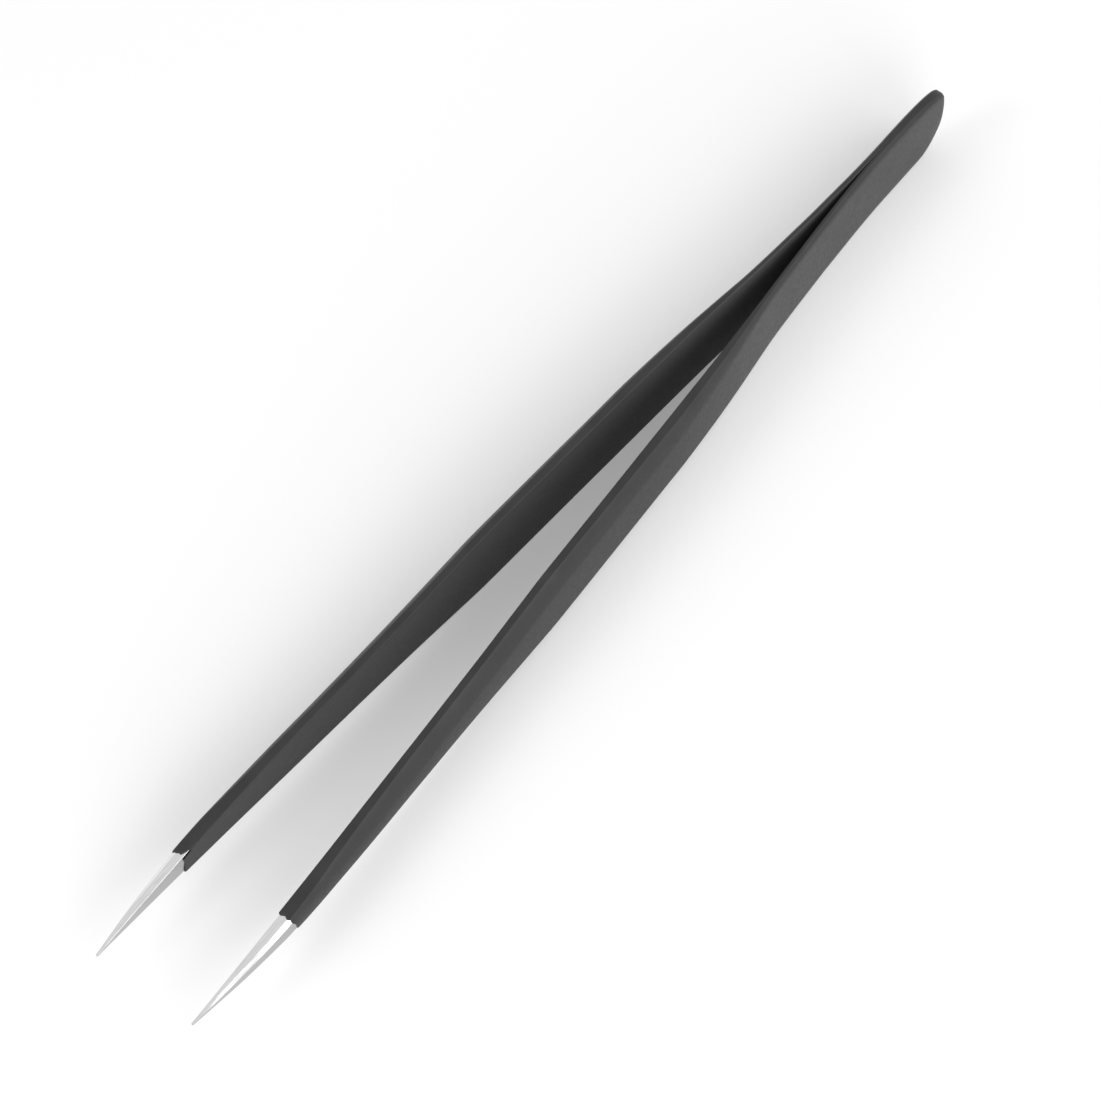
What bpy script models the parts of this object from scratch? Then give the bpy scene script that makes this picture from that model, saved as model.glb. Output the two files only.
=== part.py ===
"""Needle-point tweezers with a thin black coating over two sprung steel arms.

Axes: +X runs from the butt to the tips, +Y towards the left arm, +Z up.
The tweezers lie on their long edges, and the origin is on that surface, under
the middle of the length. Dimensions are millimetres, turned into metres only
where a vertex is made. Stations along an arm are measured from the butt.
"""

import math

import bmesh
import bpy
from mathutils import Vector

MM = 0.001

# Overall size
LENGTH = 138.0
WIDTH = 10.0

# Tail: the two arms are welded here and share one coating
BUTT_LENGTH = 9.5
# Rounding of the butt's two corners: where the flat end stops, above or below the
# middle; how far along the rounding reaches; and its squareness (2 is an ellipse)
UPPER_CORNER = {"start": 3.0, "length": 9.5, "squareness": 2.3}
LOWER_CORNER = {"start": 0.5, "length": 4.0, "squareness": 1.6}
CROTCH = 11.0
STEEL_CONTACT_END = 9.5
STEEL_SPREAD_END = 15.0
WELD_STATIONS = {"rear_spot_weld": 3.8, "front_spot_weld": 7.8}
WELD_RADIUS = 1.3
WELD_HALF_HEIGHT = 0.18
WELD_SIDES = 24

# Arms: each turns about an upright axis in the thin, springy stretch
PIVOT = 22.0
COAT_END = {"left": 123.7, "right": 124.7}

# Layers, and the clearances between touching pieces
COAT_WALL = 0.15
COAT_CLEARANCE = 0.03
STEEL_INSET = COAT_WALL + COAT_CLEARANCE
SPLIT_GAP = 0.12
FACE_CLEARANCE = 0.03
OVERCUT = 0.05

# Shape of one coated arm: (station, value) where the shape changes
INNER_FACE = ((CROTCH, 0.0), (18, 0.20), (26, 0.68), (42, 1.88), (52, 2.46),
              (90, 4.40), (122, 5.74), (LENGTH, 5.98))
THICKNESS = ((0, 0.82), (32, 0.82), (46, 1.66), (55, 2.02), (106, 2.04),
             (122, 1.86), (130, 1.42), (LENGTH, 0.58))
ARM_WIDTH = ((BUTT_LENGTH, WIDTH), (15, WIDTH), (32, 9.8), (52, WIDTH), (76, WIDTH),
             (82, 9.2), (88, 8.1), (96, 7.1), (108, 6.0), (116, 4.8), (122, 3.75),
             (130, 2.2), (LENGTH, 0.56))
BEVEL_HEIGHT = ((0, 0.50), (34, 0.45), (46, 1.25), (58, 1.90), (104, 1.95),
                (114, 1.45), (122, 0.85), (130, 0.44), (LENGTH, 0.10))
BEVEL_DEPTH = ((0, 0.48), (34, 0.48), (46, 0.80), (58, 1.05), (98, 1.25),
               (112, 1.00), (122, 0.44), (130, 0.26), (LENGTH, 0.12))
BEVEL_CREST = 0.42
INNER_EDGE = 0.12
ELLIPSE_STEPS = 10
STATION_STEP = 4.0

STEEL = {"colour": (0.60, 0.60, 0.61), "metallic": 1.0, "roughness": 0.28}
WELD = {"colour": (0.35, 0.35, 0.36), "metallic": 1.0, "roughness": 0.55}
COATING = {"colour": (0.030, 0.030, 0.032), "metallic": 0.0, "roughness": 0.45}


def smooth_curve(points, station):
    """Value at a station of the smooth curve through points, with no overshoot."""
    xs = [p[0] for p in points]
    ys = [p[1] for p in points]
    if station <= xs[0]:
        return ys[0]
    if station >= xs[-1]:
        return ys[-1]
    steps = [(ys[i + 1] - ys[i]) / (xs[i + 1] - xs[i]) for i in range(len(xs) - 1)]
    slopes = [steps[0]]
    for before, after in zip(steps, steps[1:]):
        same_way = before * after > 0.0
        slopes.append(2.0 * before * after / (before + after) if same_way else 0.0)
    slopes.append(steps[-1])
    i = max(k for k in range(len(xs) - 1) if xs[k] <= station)
    span = xs[i + 1] - xs[i]
    t = (station - xs[i]) / span
    start, end = ys[i], ys[i + 1]
    rise = t * t * (3.0 - 2.0 * t)
    return (start + (end - start) * rise
            + span * slopes[i] * t * (1.0 - t) ** 2
            - span * slopes[i + 1] * t * t * (1.0 - t))


def half_width(station, corner):
    """Height of the coated arm from its middle to one long edge, rounded off at the butt."""
    full = smooth_curve(ARM_WIDTH, station) / 2.0
    if station >= corner["length"]:
        return full
    to_go = 1.0 - station / corner["length"]
    power = corner["squareness"]
    return corner["start"] + (full - corner["start"]) * (1.0 - to_go ** power) ** (1.0 / power)


def steel_inner_face(station):
    """Distance from the centre plane to the bare steel's inner face."""
    bowed = smooth_curve(INNER_FACE, station) + STEEL_INSET
    if station >= STEEL_SPREAD_END:
        return bowed
    if station <= STEEL_CONTACT_END:
        return FACE_CLEARANCE
    t = (station - STEEL_CONTACT_END) / (STEEL_SPREAD_END - STEEL_CONTACT_END)
    spread = t * t * (3.0 - 2.0 * t)
    return FACE_CLEARANCE + (bowed - FACE_CLEARANCE) * spread


def coat_inner_face(station):
    """Distance from the centre plane to the coating, past it where the arms join."""
    if station >= CROTCH + 1.0:
        return smooth_curve(INNER_FACE, station)
    if station <= CROTCH - 1.0:
        return -OVERCUT
    before, after = -OVERCUT, smooth_curve(INNER_FACE, CROTCH + 1.0)
    return before + (after - before) * (station - CROTCH + 1.0) / 2.0


def section(station, inner, inset):
    """Outline of one arm as (y, z) points, shrunk by inset all round."""
    outer = smooth_curve(INNER_FACE, station) + smooth_curve(THICKNESS, station) - inset
    depth = min(smooth_curve(BEVEL_DEPTH, station), 0.6 * (outer - inner))

    def long_edge(half):
        height = min(smooth_curve(BEVEL_HEIGHT, station), 0.8 * half)
        edge = min(INNER_EDGE, 0.3 * half, 0.3 * (outer - inner))
        return [(inner, half - edge),
                (inner + edge, half),
                (outer - depth, half),
                (outer - depth * BEVEL_CREST, half - height * BEVEL_CREST),
                (outer, half - height)]

    upper = long_edge(half_width(station, UPPER_CORNER) - inset)
    lower = long_edge(half_width(station, LOWER_CORNER) - inset)
    return upper + [(y, -z) for y, z in reversed(lower)]


def stations(first, last):
    """Stations from first to last, close together round the butt."""
    count = max(1, math.ceil((last - max(first, BUTT_LENGTH)) / STATION_STEP))
    start = max(first, BUTT_LENGTH)
    even = [start + (last - start) * i / count for i in range(count + 1)]
    if first >= BUTT_LENGTH:
        return even
    angles = [i * math.pi / 2.0 / ELLIPSE_STEPS for i in range(ELLIPSE_STEPS)]
    return [BUTT_LENGTH * (1.0 - math.cos(a)) for a in angles] + even


def ring(station, side, inner, inset, shift=0.0):
    """Section as points in the part's frame; side is 1 for left, -1 for right."""
    x = station + shift * max(0.0, 1.0 - station / BUTT_LENGTH) - LENGTH / 2.0
    points = [Vector((x, side * y, z + WIDTH / 2.0)) * MM
              for y, z in section(station, inner, inset)]
    return points[::-1] if side > 0 else points


def skin(mesh, rings, outward=True):
    """Add the side faces between rings, and return the rings' vertices."""
    loops = [[mesh.verts.new(point) for point in points] for points in rings]
    for near, far in zip(loops, loops[1:]):
        for i in range(len(near)):
            j = (i + 1) % len(near)
            face = (near[i], near[j], far[j], far[i])
            mesh.faces.new(face if outward else face[::-1])
    return loops


def solid_from_rings(rings):
    """Closed solid through the rings, with a flat cap at each end."""
    mesh = bmesh.new()
    loops = skin(mesh, rings)
    mesh.faces.new(loops[0][::-1])
    mesh.faces.new(loops[-1])
    return mesh


def tube_from_rings(outer, inner):
    """Tube between two sets of rings, open at both ends."""
    mesh = bmesh.new()
    outside = skin(mesh, outer)
    inside = skin(mesh, inner, outward=False)
    for end, turned in ((0, True), (-1, False)):
        for i in range(len(outside[end])):
            j = (i + 1) % len(outside[end])
            face = (outside[end][i], outside[end][j], inside[end][j], inside[end][i])
            mesh.faces.new(face[::-1] if turned else face)
    return mesh


def disc(station, radius, half_height):
    """Round solid about the Y axis, centred between the arms."""
    mesh = bmesh.new()
    bmesh.ops.create_cone(mesh, cap_ends=True, segments=WELD_SIDES, radius1=radius * MM,
                          radius2=radius * MM, depth=2.0 * half_height * MM)
    bmesh.ops.rotate(mesh, verts=mesh.verts, matrix=Vector((0, 0, 1)).rotation_difference(
        Vector((0, 1, 0))).to_matrix())
    bmesh.ops.translate(mesh, verts=mesh.verts, vec=frame_point(station, 0.0, WIDTH / 2.0))
    return mesh


def frame_point(station, y, z):
    """Point in the part's frame, in metres."""
    return Vector((station - LENGTH / 2.0, y, z)) * MM


def material(name, look):
    """Plain shader with one colour, roughness and metallic value."""
    made = bpy.data.materials.new(name)
    made.use_nodes = True
    shader = made.node_tree.nodes["Principled BSDF"]
    shader.inputs["Base Color"].default_value = (*look["colour"], 1.0)
    shader.inputs["Metallic"].default_value = look["metallic"]
    shader.inputs["Roughness"].default_value = look["roughness"]
    made.diffuse_color = (*look["colour"], 1.0)
    return made


def add_object(name, mesh, look=None, pivot=None):
    """Object from a bmesh; with a pivot, its origin is on that empty."""
    if pivot is not None:
        bmesh.ops.translate(mesh, verts=mesh.verts, vec=-pivot.location)
    data = bpy.data.meshes.new(name)
    mesh.to_mesh(data)
    mesh.free()
    made = bpy.data.objects.new(name, data)
    bpy.context.collection.objects.link(made)
    if pivot is not None:
        made.parent = pivot
    if look is not None:
        data.materials.append(material(name, look))
    return made


def add_helper(name, mesh):
    """Solid that only shapes other pieces."""
    helper = add_object(name, mesh)
    helper.hide_render = True
    helper.display_type = "WIRE"
    return helper


def combine(target, helper, operation):
    """Boolean on target, with one helper solid."""
    modifier = target.modifiers.new(operation.lower(), "BOOLEAN")
    modifier.operation = operation
    modifier.solver = "EXACT"
    modifier.object = helper


def pivot_empty(side_name, side):
    """Empty on the upright axis about which one arm springs."""
    middle = smooth_curve(INNER_FACE, PIVOT) + smooth_curve(THICKNESS, PIVOT) / 2.0
    empty = bpy.data.objects.new(f"{side_name}_arm_pivot", None)
    empty.location = frame_point(PIVOT, side * middle, WIDTH / 2.0)
    bpy.context.collection.objects.link(empty)
    return empty


def tang(side_name, side, pockets):
    """Thin steel root of an arm, welded to the other one."""
    rings = [ring(s, side, steel_inner_face(s), STEEL_INSET, shift=STEEL_INSET)
             for s in stations(0.0, PIVOT - SPLIT_GAP / 2.0)]
    root = add_object(f"{side_name}_arm_tang", solid_from_rings(rings), STEEL)
    for pocket in pockets:
        combine(root, pocket, "DIFFERENCE")
    return root


def blade(side_name, side, pivot):
    """Steel arm from the springy stretch to its bare needle tip."""
    rings = [ring(s, side, steel_inner_face(s), STEEL_INSET)
             for s in stations(PIVOT + SPLIT_GAP / 2.0, LENGTH)]
    return add_object(f"{side_name}_arm_blade", solid_from_rings(rings), STEEL, pivot)


def arm_coating(side_name, side, pivot):
    """Coating sleeve over a blade, up to where the tip is left bare."""
    along = stations(PIVOT + SPLIT_GAP / 2.0, COAT_END[side_name])
    outside = [ring(s, side, coat_inner_face(s), 0.0) for s in along]
    inside = [ring(s, side, coat_inner_face(s) + COAT_WALL, COAT_WALL) for s in along]
    return add_object(f"{side_name}_arm_coating", tube_from_rings(outside, inside),
                      COATING, pivot)


def tail_half(side_name, side):
    """Outside of the coated tail on one side, reaching just past the centre plane."""
    rings = [ring(s, side, coat_inner_face(s), 0.0)
             for s in stations(0.0, PIVOT - SPLIT_GAP / 2.0)]
    return solid_from_rings(rings)


def tail_cavity(side_name, side):
    """Space for one tang inside the tail's coating, open towards the arm."""
    rings = []
    for s in stations(0.0, PIVOT + SPLIT_GAP):
        joined = s <= STEEL_CONTACT_END
        inner = -OVERCUT if joined else steel_inner_face(s) - COAT_CLEARANCE
        rings.append(ring(s, side, inner, COAT_WALL, shift=COAT_WALL))
    return add_helper(f"{side_name}_tail_cavity", solid_from_rings(rings))


def tail_coating():
    """One coating over both tangs, forked towards the arms."""
    coat = add_object("tail_coating", tail_half("left", 1), COATING)
    combine(coat, add_helper("right_tail_half", tail_half("right", -1)), "UNION")
    for side_name, side in (("left", 1), ("right", -1)):
        combine(coat, tail_cavity(side_name, side), "DIFFERENCE")
    return coat


def spot_welds():
    """Weld nuggets between the tangs; returns the pockets they sit in."""
    pockets = []
    for name, station in WELD_STATIONS.items():
        add_object(name, disc(station, WELD_RADIUS, WELD_HALF_HEIGHT), WELD)
        pocket = disc(station, WELD_RADIUS + COAT_CLEARANCE,
                      WELD_HALF_HEIGHT + COAT_CLEARANCE)
        pockets.append(add_helper(f"{name}_pocket", pocket))
    return pockets


def build():
    """Make every piece of the tweezers."""
    for old in list(bpy.data.objects):
        bpy.data.objects.remove(old, do_unlink=True)
    pockets = spot_welds()
    tail_coating()
    for side_name, side in (("left", 1), ("right", -1)):
        pivot = pivot_empty(side_name, side)
        tang(side_name, side, pockets)
        blade(side_name, side, pivot)
        arm_coating(side_name, side, pivot)


build()
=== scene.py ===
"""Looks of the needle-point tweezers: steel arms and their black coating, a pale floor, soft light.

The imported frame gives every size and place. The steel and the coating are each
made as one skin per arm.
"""

import math

import bmesh
import bpy
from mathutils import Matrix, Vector


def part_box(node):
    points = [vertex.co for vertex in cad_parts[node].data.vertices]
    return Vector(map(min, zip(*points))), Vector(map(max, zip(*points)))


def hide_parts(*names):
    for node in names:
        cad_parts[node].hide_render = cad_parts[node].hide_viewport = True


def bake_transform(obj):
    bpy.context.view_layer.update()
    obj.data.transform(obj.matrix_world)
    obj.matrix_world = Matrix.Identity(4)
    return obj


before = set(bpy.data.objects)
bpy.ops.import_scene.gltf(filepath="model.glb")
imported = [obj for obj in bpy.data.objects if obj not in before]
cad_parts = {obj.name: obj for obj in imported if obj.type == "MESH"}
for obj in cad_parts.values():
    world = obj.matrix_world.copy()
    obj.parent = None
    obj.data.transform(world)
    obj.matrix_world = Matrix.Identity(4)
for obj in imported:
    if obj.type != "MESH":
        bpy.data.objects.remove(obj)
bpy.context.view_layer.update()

MM = 0.001
SIDES = {"left": 1.0, "right": -1.0}

# Tail of the coated tool, measured from the butt
CROTCH = 11.0 * MM
BUTT_LENGTH = 9.5 * MM
BUTT_EDGE = 0.45 * MM
# Rounding of the butt's upper and lower corners: where the flat end stops, from the
# middle; how far along the rounding reaches; and its squareness (2 is an ellipse)
CORNERS = {1: {"start": 3.0 * MM, "length": 9.5 * MM, "squareness": 2.3},
           -1: {"start": 0.5 * MM, "length": 4.0 * MM, "squareness": 1.6}}

# Layers
COAT_WALL = 0.15 * MM
COAT_CLEARANCE = 0.015 * MM
COAT_EDGE = 0.14 * MM
COAT_CROWN = 0.10 * MM
STEEL_EDGE = 0.10 * MM

# End of the coating: set back between the ridges, oblique on the left arm, and worn
# off one edge of the right arm
SCALLOP = 0.20 * MM
OBLIQUE = {"left": 1.1 * MM, "right": 0.0}
LIP_REACH = 4.0 * MM
BARE_EDGE = {"left": 0.0, "right": 1.0 * MM}

# The bare steel's bevels narrow to this share of their width, this far past the coating
TIP_BEVEL = 0.78
TIP_REACH = 2.0 * MM

# Angles by which a bevel starts flatter, and ends steeper, than its chord
COAT_BOW = (math.radians(28.0), math.radians(12.0))
STEEL_BOW = (math.radians(3.0), math.radians(3.0))

# Stretch of the tail over which the seam between the arms opens
SEAM_START = 7.5 * MM
SEAM_END = 12.5 * MM

# Limits that keep a small section in order, as shares of its half height
LEAST_FACE = 0.2
MOST_FACE = 0.9
MOST_ROUNDING = 0.3

# The same, as shares of its thickness
LEAST_BEVEL = 0.2
LEAST_TOP = 0.25

# Mesh density
STATION_STEP = 0.75 * MM
BUTT_STEPS = 14
LIP_STEPS = 5
INSIDE_STEP = 4
RING = {"inner": 12, "corner": 4, "top": 6, "bevel": 10, "face": 12}

# A CAD ring has at least this many points, and its flats are this flat
RING_POINTS = 10
FLATNESS = 0.002 * MM

# Soft boxes that face the tweezers: direction from them, size in metres and power
BOX_DISTANCE = 0.9
SOFT_BOXES = {"ridge_box": ((-0.40, 0.62, 0.67), 0.6, 1.9),
              "key_box": ((0.45, 0.75, 0.42), 0.5, 3.4),
              "low_box": ((-0.05, 0.98, 0.18), 0.35, 0.6),
              "tip_box": ((0.72, -0.34, 0.60), 0.3, 1.2)}
SURROUNDINGS = 0.78
FLOOR_HALF = 2.0

# Camera: where it looks, and how far away and from which angles
VIEW_TARGET = (0.00316, 0.00078, 0.005)
VIEW_DISTANCE = 0.5296
VIEW_AZIMUTH = 127.64
VIEW_ELEVATION = 58.98
LENS = 163.6


def ring_measures(node, side):
    """Sizes of an arm at each ring of a CAD node: station, inner, outer, half, face half, top outer."""
    low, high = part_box(node)
    middle = (low.z + high.z) / 2.0
    rings = {}
    for vertex in bpy.data.objects[node].data.vertices:
        rings.setdefault(round(vertex.co.x, 6), []).append(
            (vertex.co.y * side, abs(vertex.co.z - middle)))
    rows = []
    for station in sorted(rings):
        points = rings[station]
        if len(points) < RING_POINTS:
            continue
        inner = min(p[0] for p in points)
        outer = max(p[0] for p in points)
        half = max(p[1] for p in points)
        face = max(p[1] for p in points if p[0] > outer - FLATNESS)
        top = max(p[0] for p in points if p[1] > half - FLATNESS)
        rows.append((station, inner, outer, half, face, top))
    return rows


def smooth_curve(points, x):
    """Value at x of the smooth curve through points, with no overshoot."""
    if x <= points[0][0]:
        return points[0][1]
    if x >= points[-1][0]:
        return points[-1][1]
    i = max(k for k in range(len(points) - 1) if points[k][0] <= x)
    steps = [(b[1] - a[1]) / (b[0] - a[0]) for a, b in zip(points, points[1:])]

    def slope(k):
        if k == 0:
            return steps[0]
        if k == len(points) - 1:
            return steps[-1]
        before, after = steps[k - 1], steps[k]
        return 2.0 * before * after / (before + after) if before * after > 0.0 else 0.0

    span = points[i + 1][0] - points[i][0]
    t = (x - points[i][0]) / span
    rise = t * t * (3.0 - 2.0 * t)
    return (points[i][1] + (points[i + 1][1] - points[i][1]) * rise
            + span * slope(i) * t * (1.0 - t) ** 2 - span * slope(i + 1) * t * t * (1.0 - t))


class Arm:
    """Outer shape of one coated arm, read from the frame."""

    def __init__(self, side_name):
        self.name = side_name
        self.side = SIDES[side_name]
        blade = ring_measures(f"{side_name}_arm_blade", self.side)
        coat = ring_measures(f"{side_name}_arm_coating", self.side)
        tail_low, tail_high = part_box("tail_coating")
        self.butt = tail_low.x
        self.middle = (tail_low.z + tail_high.z) / 2.0
        self.tip = blade[-1][0]
        self.coat_end = coat[-1][0]
        self.inset = blade[0][1] - coat[0][1]
        grown = [(x, i - self.inset, o + self.inset, h + self.inset, f, t)
                 for x, i, o, h, f, t in blade if x > self.coat_end]
        self.rows = coat + grown
        self.tail = self.tail_rows(tail_high)
        self.tables = [self.table(k) for k in range(1, 6)]

    def tail_rows(self, tail_high):
        """Sizes in the tail, where both arms share one coating."""
        first = self.rows[0]
        thickness = first[2] - first[1]
        half = tail_high.z - self.middle
        face = half - (first[3] - first[4])
        top = thickness - (first[2] - first[5])
        return [(self.butt + CROTCH * share, 0.0, thickness, half, face, top)
                for share in (0.0, 0.5, 1.0)]

    def table(self, column):
        """Points of one size along the whole arm."""
        return [(row[0], row[column]) for row in self.tail + self.rows]

    def sizes(self, x, edge):
        """Inner, outer, half height, half face and top flat's end at x, on one long edge.

        The butt's corners are rounded here, and the bevels past the coating narrowed.
        """
        inner, outer, half, face, top = (smooth_curve(t, x) for t in self.tables)
        corner = CORNERS[edge]
        to_go = 1.0 - max(x - self.butt, 0.0) / corner["length"]
        if to_go > 0.0:
            full, power = half, corner["squareness"]
            half = corner["start"] + (full - corner["start"]) * (
                1.0 - to_go ** power) ** (1.0 / power)
            face -= full - half
        face = max(face, LEAST_FACE * half)
        past_coat = min(max((x - self.coat_end) / TIP_REACH, 0.0), 1.0)
        narrower = (1.0 - TIP_BEVEL) * past_coat
        return inner, outer, half, face + (half - face) * narrower, top + (outer - top) * narrower


def spread(start, end, count):
    """Points from start, up to but not at end."""
    return [(start[0] + (end[0] - start[0]) * i / count,
             start[1] + (end[1] - start[1]) * i / count) for i in range(count)]


def arc(start, corner, end, count):
    """Rounded corner from start to end round a corner point, up to but not at end."""
    points = []
    for i in range(count):
        t = i / count
        points.append(tuple((1.0 - t) ** 2 * a + 2.0 * t * (1.0 - t) * c + t * t * b
                            for a, c, b in zip(start, corner, end)))
    return points


def ground_corner(start, end, bow):
    """Corner point of a bevel from start to end that leaves the top at a flatter angle."""
    across, down = end[0] - start[0], start[1] - end[1]
    chord = math.atan2(down, across)
    first = chord - bow[0]
    last = min(chord + bow[1], math.pi / 2.0)
    reach = math.hypot(across, down) * math.sin(last - chord) / math.sin(last - first)
    return (start[0] + reach * math.cos(first), start[1] - reach * math.sin(first))


def long_edge(arm, x, edge, inset, rounding, bow, crown, end_inset):
    """Outline of one long edge as (y, height), from the inner face to the end of the bevel."""
    inner, outer, half, face, top = arm.sizes(x, edge)
    outer -= inset + end_inset
    inner = min(inner + inset, (inner + outer) / 2.0)
    half -= inset + end_inset
    face = min(face, MOST_FACE * half)
    top = min(top, outer - LEAST_BEVEL * (outer - inner))
    top = max(top - inset, inner + LEAST_TOP * (outer - inner))
    rounding = min(rounding, MOST_ROUNDING * half, (top - inner) / 2.0)
    points = arc((inner, half - rounding), (inner, half), (inner + rounding, half),
                 RING["corner"])
    points += spread((inner + rounding, half), (top, half), RING["top"])
    bevel_end = (outer - crown, face)
    corner = ground_corner((top, half), bevel_end, bow)
    return points + arc((top, half), corner, bevel_end, RING["bevel"]), bevel_end


def outline(arm, x, inset, rounding, bow, crown=0.0, end_inset=0.0):
    """Section of an arm at x, shrunk by inset, as (y, z) from the middle of the height."""
    upper, start = long_edge(arm, x, 1, inset, rounding, bow, crown, end_inset)
    lower, end = long_edge(arm, x, -1, inset, rounding, bow, crown, end_inset)
    points = spread((lower[0][0], -lower[0][1]), upper[0], RING["inner"]) + upper
    for i in range(RING["face"] + 1):
        share = 2.0 * i / RING["face"] - 1.0
        points.append((start[0] + crown * (1.0 - share ** 2),
                       start[1] - (start[1] + end[1]) * i / RING["face"]))
    return points + [(y, -z) for y, z in reversed(lower[1:])]


def place(arm, x, points, slide=None):
    """Section points as places in the frame, in an order that makes faces point out."""
    slide = slide or [0.0] * len(points)
    made = [Vector((x + along, arm.side * y, arm.middle + z))
            for (y, z), along in zip(points, slide)]
    return made if arm.side < 0 else made[::-1]


def skin(mesh, rings):
    """Faces between rings; returns the first and the last ring's vertices."""
    loops = [[mesh.verts.new(point) for point in ring] for ring in rings]
    for near, far in zip(loops, loops[1:]):
        for i in range(len(near)):
            j = (i + 1) % len(near)
            mesh.faces.new((near[i], near[j], far[j], far[i]))
    return loops[0], loops[-1]


def add_piece(name, mesh, material, sharp=35.0):
    """Object from a bmesh, shaded smooth except at sharp edges."""
    data = bpy.data.meshes.new(name)
    mesh.to_mesh(data)
    mesh.free()
    data.materials.append(material)
    data.shade_smooth()
    data.set_sharp_from_angle(angle=math.radians(sharp))
    piece = bpy.data.objects.new(name, data)
    bpy.context.collection.objects.link(piece)
    return piece


def stations(first, last):
    """Places along the arm, close together at the rounded butt."""
    ease = first + BUTT_LENGTH
    butt = [first + BUTT_LENGTH * (1.0 - math.cos(math.pi / 2.0 * i / BUTT_STEPS))
            for i in range(BUTT_STEPS)]
    count = math.ceil((last - ease) / STATION_STEP)
    return butt + [ease + (last - ease) * i / count for i in range(count + 1)]


def coat_outline(arm, x, inset=0.0):
    """Section of the coating's outside at x, with its inner edge closed up in the tail."""
    opened = (x - arm.butt - SEAM_START) / (SEAM_END - SEAM_START)
    edge = COAT_EDGE * min(max(opened, 0.02), 1.0)
    rounding = max(0.0, 1.0 - (x - arm.butt) / BUTT_EDGE)
    end_inset = BUTT_EDGE / 2.0 * (1.0 - math.sqrt(1.0 - rounding ** 2))
    return outline(arm, x, inset, edge, COAT_BOW, COAT_CROWN, end_inset)


def set_backs(arm):
    """How far the coating's end is set back at each point: scallops, rub and slant."""
    upper = [RING["corner"], RING["top"], RING["bevel"]]
    backs = []
    for facet in [RING["inner"]] + upper + [RING["face"] + 1] + upper[::-1]:
        backs += [SCALLOP * math.sin(math.pi * i / facet) ** 2 for i in range(facet)]
    bare = BARE_EDGE[arm.name]
    for i in range(RING["corner"] + 1):
        backs[RING["inner"] + i] += bare
    backs[RING["inner"] + RING["corner"] + 1] += 0.5 * bare
    heights = [point[1] for point in coat_outline(arm, arm.coat_end)]
    top = max(heights)
    return [back + OBLIQUE[arm.name] * (1.0 - height / top) / 2.0
            for back, height in zip(backs, heights)]


def coat_skin(arm, material):
    """Coating of one arm with its half of the tail: outside, rolled lip and inside."""
    body = stations(arm.butt, arm.coat_end - COAT_WALL)
    backs = set_backs(arm)

    def slide(x):
        share = max(0.0, 1.0 - (arm.coat_end - x) / LIP_REACH)
        return [-back * share ** 2 for back in backs]

    rings = [place(arm, x, coat_outline(arm, x), slide(x)) for x in body]
    for i in range(1, LIP_STEPS + 1):
        angle = math.pi / 2.0 * i / LIP_STEPS
        x = arm.coat_end - COAT_WALL * (1.0 - math.sin(angle))
        inset = (arm.inset - COAT_CLEARANCE) * (1.0 - math.cos(angle))
        rings.append(place(arm, x, coat_outline(arm, x, inset), slide(x)))
    inside = [x for x in reversed(body[::INSIDE_STEP]) if arm.butt + arm.inset < x]
    for x in inside:
        rings.append(place(arm, x, coat_outline(arm, x, arm.inset - COAT_CLEARANCE), slide(x)))
    mesh = bmesh.new()
    first, last = skin(mesh, rings)
    mesh.faces.new(first[::-1])
    mesh.faces.new(last)
    piece = add_piece(f"{arm.name}_coat_skin", mesh, material)
    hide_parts("tail_coating", f"{arm.name}_arm_coating")
    return piece


def steel_skin(arm, material):
    """Steel strip of one arm from the tail to the needle tip."""
    rings = []
    for x in stations(arm.butt + arm.inset, arm.tip):
        rings.append(place(arm, x, outline(arm, x, arm.inset, STEEL_EDGE, STEEL_BOW)))
    mesh = bmesh.new()
    first, last = skin(mesh, rings)
    mesh.faces.new(first[::-1])
    mesh.faces.new(last)
    piece = add_piece(f"{arm.name}_steel_strip", mesh, material, sharp=20.0)
    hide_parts(f"{arm.name}_arm_tang", f"{arm.name}_arm_blade")
    return piece


def bend(piece):
    """Bake a piece's world transform into its mesh; the piece is not bent."""
    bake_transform(piece)


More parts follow.
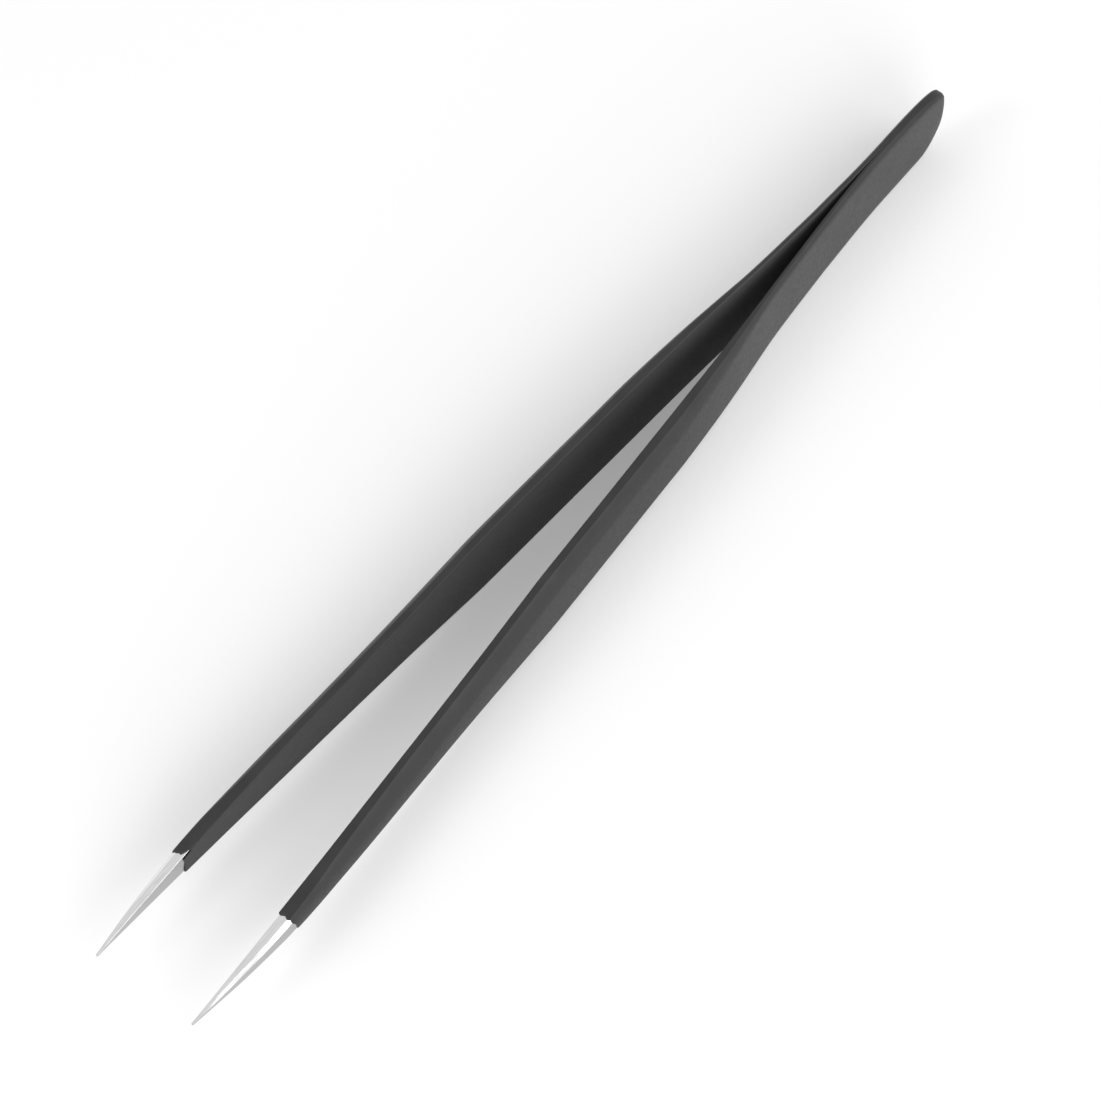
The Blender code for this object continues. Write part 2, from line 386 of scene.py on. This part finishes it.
class Shader:
    """Short names for making nodes in one material."""

    def __init__(self, name):
        self.material = bpy.data.materials.new(name)
        self.material.use_nodes = True
        self.tree = self.material.node_tree
        self.surface = self.tree.nodes["Principled BSDF"]
        place_node = self.tree.nodes.new("ShaderNodeTexCoord")
        self.place = place_node.outputs["Object"]
        self.normal = place_node.outputs["Normal"]

    def stretched(self, scale):
        """Object coordinates scaled along each axis."""
        node = self.tree.nodes.new("ShaderNodeMapping")
        node.inputs["Scale"].default_value = scale
        self.tree.links.new(self.place, node.inputs["Vector"])
        return node.outputs["Vector"]

    def noise(self, scale, detail=2.0, vector=None):
        node = self.tree.nodes.new("ShaderNodeTexNoise")
        node.inputs["Scale"].default_value = scale
        node.inputs["Detail"].default_value = detail
        self.tree.links.new(vector or self.place, node.inputs["Vector"])
        return node.outputs["Fac"]

    def remap(self, value, low, high, to_low, to_high):
        node = self.tree.nodes.new("ShaderNodeMapRange")
        for socket, number in (("From Min", low), ("From Max", high),
                               ("To Min", to_low), ("To Max", to_high)):
            node.inputs[socket].default_value = number
        self.tree.links.new(value, node.inputs["Value"])
        return node.outputs["Result"]

    def bump(self, height, strength, distance, below=None):
        node = self.tree.nodes.new("ShaderNodeBump")
        node.inputs["Strength"].default_value = strength
        node.inputs["Distance"].default_value = distance
        self.tree.links.new(height, node.inputs["Height"])
        if below is not None:
            self.tree.links.new(below, node.inputs["Normal"])
        return node.outputs["Normal"]

    def axis(self, vector, name):
        """One coordinate of a vector."""
        node = self.tree.nodes.new("ShaderNodeSeparateXYZ")
        self.tree.links.new(vector, node.inputs["Vector"])
        return node.outputs[name]

    def math(self, operation, first, second=None):
        node = self.tree.nodes.new("ShaderNodeMath")
        node.operation = operation
        self.tree.links.new(first, node.inputs[0])
        if second is not None:
            self.tree.links.new(second, node.inputs[1])
        return node.outputs["Value"]

    def add(self, first, second):
        return self.math("ADD", first, second)

    def inward(self):
        """How far a surface faces the other arm: 1 on an inner face, -1 on an outer one."""
        side = self.math("SIGN", self.axis(self.place, "Y"))
        towards = self.math("MULTIPLY", side, self.axis(self.normal, "Y"))
        return self.remap(towards, -1.0, 1.0, 1.0, -1.0)

    def mix(self, factor, first, second):
        """Mix of two colours; each is three numbers, or the output of a node."""
        node = self.tree.nodes.new("ShaderNodeMix")
        node.data_type = "RGBA"
        for name, colour in (("A", first), ("B", second)):
            if isinstance(colour, tuple):
                node.inputs[name].default_value = (*colour, 1.0)
            else:
                self.tree.links.new(colour, node.inputs[name])
        self.tree.links.new(factor, node.inputs["Factor"])
        return node.outputs["Result"]

    def specks(self, scale, radius):
        """1 on small round spots, a few in each cell of the scale, and 0 elsewhere."""
        node = self.tree.nodes.new("ShaderNodeTexVoronoi")
        node.inputs["Scale"].default_value = scale
        self.tree.links.new(self.place, node.inputs["Vector"])
        spot = self.remap(node.outputs["Distance"], radius * 0.5, radius, 1.0, 0.0)
        patch = self.remap(self.noise(scale * 0.7, 1.0), 0.58, 0.60, 0.0, 1.0)
        return self.math("MULTIPLY", spot, patch)

    def feed(self, value, socket):
        self.tree.links.new(value, self.surface.inputs[socket])


def coating_material():
    """Baked black coating: satin, fine-grained, with a few dust specks.

    Its inner faces, which sit in shade between the arms, get painted fill light: a lighter colour,
    lightest near the tail, and more roughness. The outer faces from the middle of the arm to the tips
    get painted shade, a slightly darker colour, and more roughness.
    """
    made = Shader("black_coating_finish")
    turned = made.inward()
    inward = made.remap(turned, 0.5, 0.9, 0.0, 1.0)
    # Ramp along the arm, 0 near the tail and 1 towards the tips, that places painted light and shade
    towards_tips = made.remap(made.axis(made.place, "X"), -0.036, -0.012, 0.0, 1.0)
    # Outer faces from the middle of the arm to the tips: painted shade in their colour, and more
    # roughness
    outer_shade_and_roughness = made.math("MULTIPLY", towards_tips, made.remap(turned, -0.80, -0.97, 0.0, 1.0))
    cloud = made.remap(made.noise(260.0, 3.0), 0.35, 0.65, 0.0, 1.0)
    outside = made.mix(cloud, (0.018, 0.018, 0.0182), (0.024, 0.024, 0.0242))
    # Painted shade: those outer faces get a slightly darker colour
    outside = made.mix(outer_shade_and_roughness, outside, (0.017, 0.017, 0.0172))
    # Painted fill light: the inner faces, in shade between the arms, get a lighter colour, lightest
    # near the tail
    inside = made.mix(towards_tips, (0.062, 0.062, 0.0625), (0.034, 0.034, 0.0343))
    coat = made.mix(inward, outside, inside)
    made.feed(made.mix(made.specks(330.0, 0.030), coat, (0.12, 0.12, 0.12)), "Base Color")
    grain = made.remap(made.noise(2600.0, 2.0), 0.3, 0.7, 0.40, 0.50)
    duller = made.add(made.remap(inward, 0.0, 1.0, 0.0, 0.24),
                      made.remap(outer_shade_and_roughness, 0.0, 1.0, 0.0, 0.10))
    made.feed(made.add(grain, duller), "Roughness")
    fine = made.bump(made.noise(5200.0, 3.0), 0.5, 0.00002)
    made.feed(made.bump(made.noise(900.0, 2.0), 0.25, 0.00003, fine), "Normal")
    made.surface.inputs["IOR"].default_value = 1.45
    return made.material


def steel_material():
    """Stainless steel, finely ground along the arm, with painted shade: its upright sides are coloured
    greyer than its top.
    """
    made = Shader("ground_steel")
    grain = made.noise(1.0, 2.0, made.stretched((90.0, 5200.0, 5200.0)))
    polish = made.mix(made.remap(grain, 0.3, 0.7, 0.0, 1.0),
                      (0.77, 0.77, 0.775), (0.86, 0.86, 0.865))
    # Painted shade: upright sides get a greyer colour than the top facets
    level = made.math("ABSOLUTE", made.axis(made.normal, "Z"))
    made.feed(made.mix(made.remap(level, 0.15, 0.65, 0.0, 1.0), (0.46, 0.46, 0.465), polish),
              "Base Color")
    made.feed(made.remap(grain, 0.3, 0.7, 0.20, 0.27), "Roughness")
    made.feed(made.bump(grain, 0.05, 0.000002), "Normal")
    made.surface.inputs["Metallic"].default_value = 1.0
    return made.material


def weld_material():
    """Fused steel: duller and pitted."""
    made = Shader("weld_nugget")
    pits = made.noise(2400.0, 4.0)
    made.feed(made.mix(pits, (0.24, 0.24, 0.25), (0.46, 0.46, 0.47)), "Base Color")
    made.feed(made.remap(pits, 0.3, 0.7, 0.45, 0.65), "Roughness")
    made.feed(made.bump(pits, 0.5, 0.00003), "Normal")
    made.surface.inputs["Metallic"].default_value = 1.0
    return made.material


def build_tweezers():
    """Both arms' skins, and the finish of the hidden welds."""
    steel, coating = steel_material(), coating_material()
    for side_name in SIDES:
        arm = Arm(side_name)
        bend(coat_skin(arm, coating))
        bend(steel_skin(arm, steel))
    weld = weld_material()
    for node in ("rear_spot_weld", "front_spot_weld"):
        nugget = bpy.data.objects[node]
        nugget.data.materials.clear()
        nugget.data.materials.append(weld)


def floor():
    """Pale floor under the tweezers."""
    made = Shader("pale_floor")
    made.surface.inputs["Base Color"].default_value = (0.72, 0.72, 0.72, 1.0)
    made.surface.inputs["Roughness"].default_value = 0.9
    made.surface.inputs["Specular IOR Level"].default_value = 0.0
    made.surface.inputs["Emission Color"].default_value = (1.0, 1.0, 1.0, 1.0)
    made.surface.inputs["Emission Strength"].default_value = 0.18
    half = FLOOR_HALF
    mesh = bmesh.new()
    corners = [mesh.verts.new((x, y, 0.0)) for x, y in
               ((-half, -half), (half, -half), (half, half), (-half, half))]
    mesh.faces.new(corners)
    data = bpy.data.meshes.new("floor")
    mesh.to_mesh(data)
    mesh.free()
    data.materials.append(made.material)
    ground = bpy.data.objects.new("floor", data)
    bpy.context.collection.objects.link(ground)


def soft_light(name, direction, size, power):
    """Square soft box that faces the tweezers."""
    data = bpy.data.lights.new(name, "AREA")
    data.size = size
    data.energy = power
    lamp = bpy.data.objects.new(name, data)
    towards = Vector(direction).normalized()
    lamp.location = towards * BOX_DISTANCE
    lamp.rotation_euler = towards.to_track_quat("Z", "Y").to_euler()
    bpy.context.collection.objects.link(lamp)


def studio():
    """Even white surroundings, with soft boxes on the left arm's side and past the tips."""
    world = bpy.data.worlds.new("white_tent")
    bpy.context.scene.world = world
    world.use_nodes = True
    background = world.node_tree.nodes["Background"]
    background.inputs["Color"].default_value = (1.0, 1.0, 1.0, 1.0)
    background.inputs["Strength"].default_value = SURROUNDINGS
    for name, (direction, size, power) in SOFT_BOXES.items():
        soft_light(name, direction, size, power)
    bpy.context.scene.view_settings.view_transform = "Standard"


def camera():
    """Long lens from above the left arm's side, looking down towards the butt's far side."""
    azimuth, elevation = math.radians(VIEW_AZIMUTH), math.radians(VIEW_ELEVATION)
    forward = Vector((-math.sin(azimuth) * math.cos(elevation),
                      math.cos(azimuth) * math.cos(elevation), -math.sin(elevation)))
    data = bpy.data.cameras.new("camera")
    data.lens = LENS
    data.sensor_width = 36.0
    data.clip_start = 0.01
    made = bpy.data.objects.new("camera", data)
    made.location = Vector(VIEW_TARGET) - forward * VIEW_DISTANCE
    made.rotation_euler = forward.to_track_quat("-Z", "Y").to_euler()
    bpy.context.collection.objects.link(made)
    bpy.context.scene.camera = made


build_tweezers()
floor()
studio()
camera()
